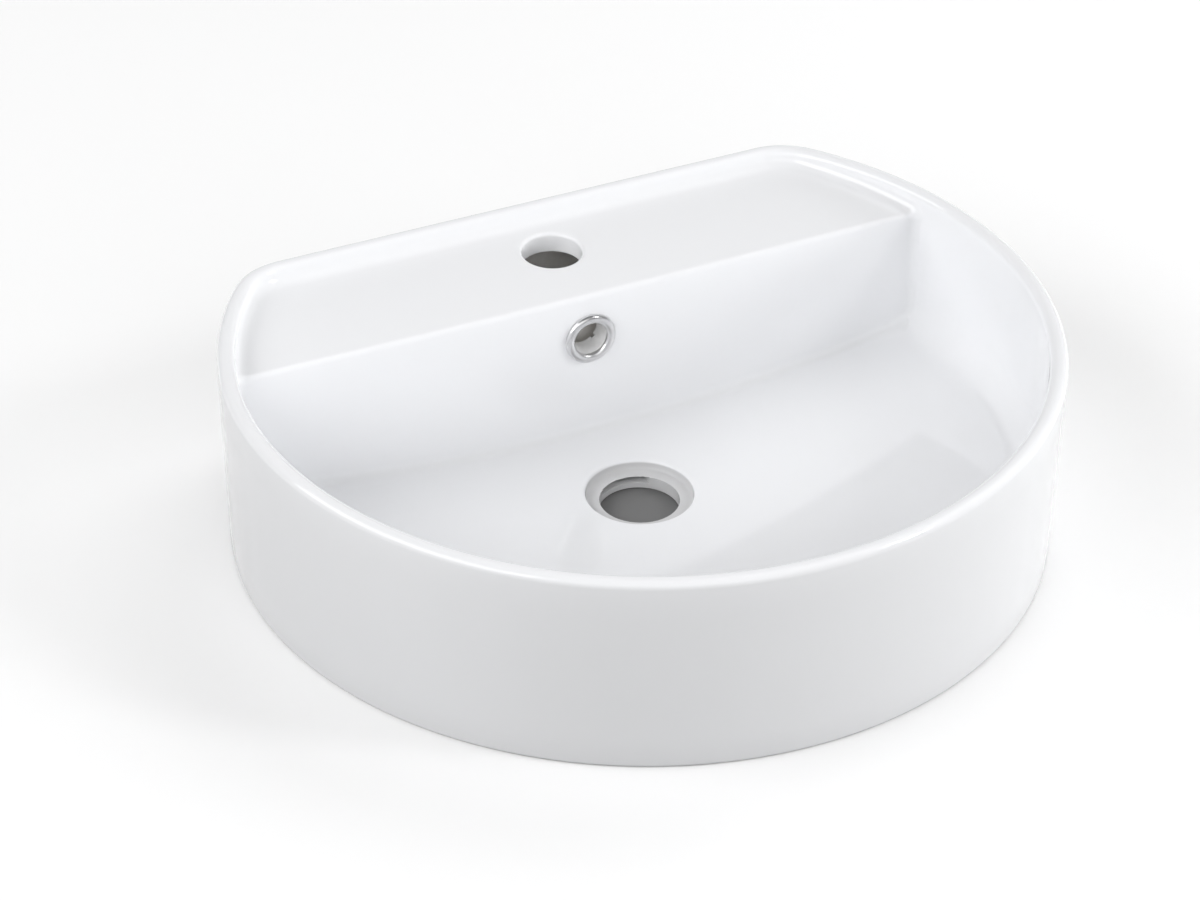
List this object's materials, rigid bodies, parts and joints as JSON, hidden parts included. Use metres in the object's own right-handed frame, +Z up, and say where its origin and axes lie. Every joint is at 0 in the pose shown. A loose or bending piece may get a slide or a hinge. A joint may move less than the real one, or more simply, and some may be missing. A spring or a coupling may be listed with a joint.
{
  "type": "wash basin",
  "caption": "Round-fronted ceramic wash basin with a straight back, a sunken tap ledge, a dished bowl and a trimmed overflow.",
  "frame": {"origin": "on the foot plane, under the middle of the basin's plan box", "axes": "+Z up out of the bowl, +Y towards the wall behind the basin, +X along its straight back to the right of a person who stands at the front"},
  "size_m": [0.4698, 0.3949, 0.12],
  "materials": {
    "ceramic": "white gloss glaze, bare biscuit under the foot",
    "ring": "bright chrome plating on moulded plastic"
  },
  "bodies": {
    "root": {"basin_body": "ceramic", "overflow_ring": "ring"}
  },
  "joints": []
}
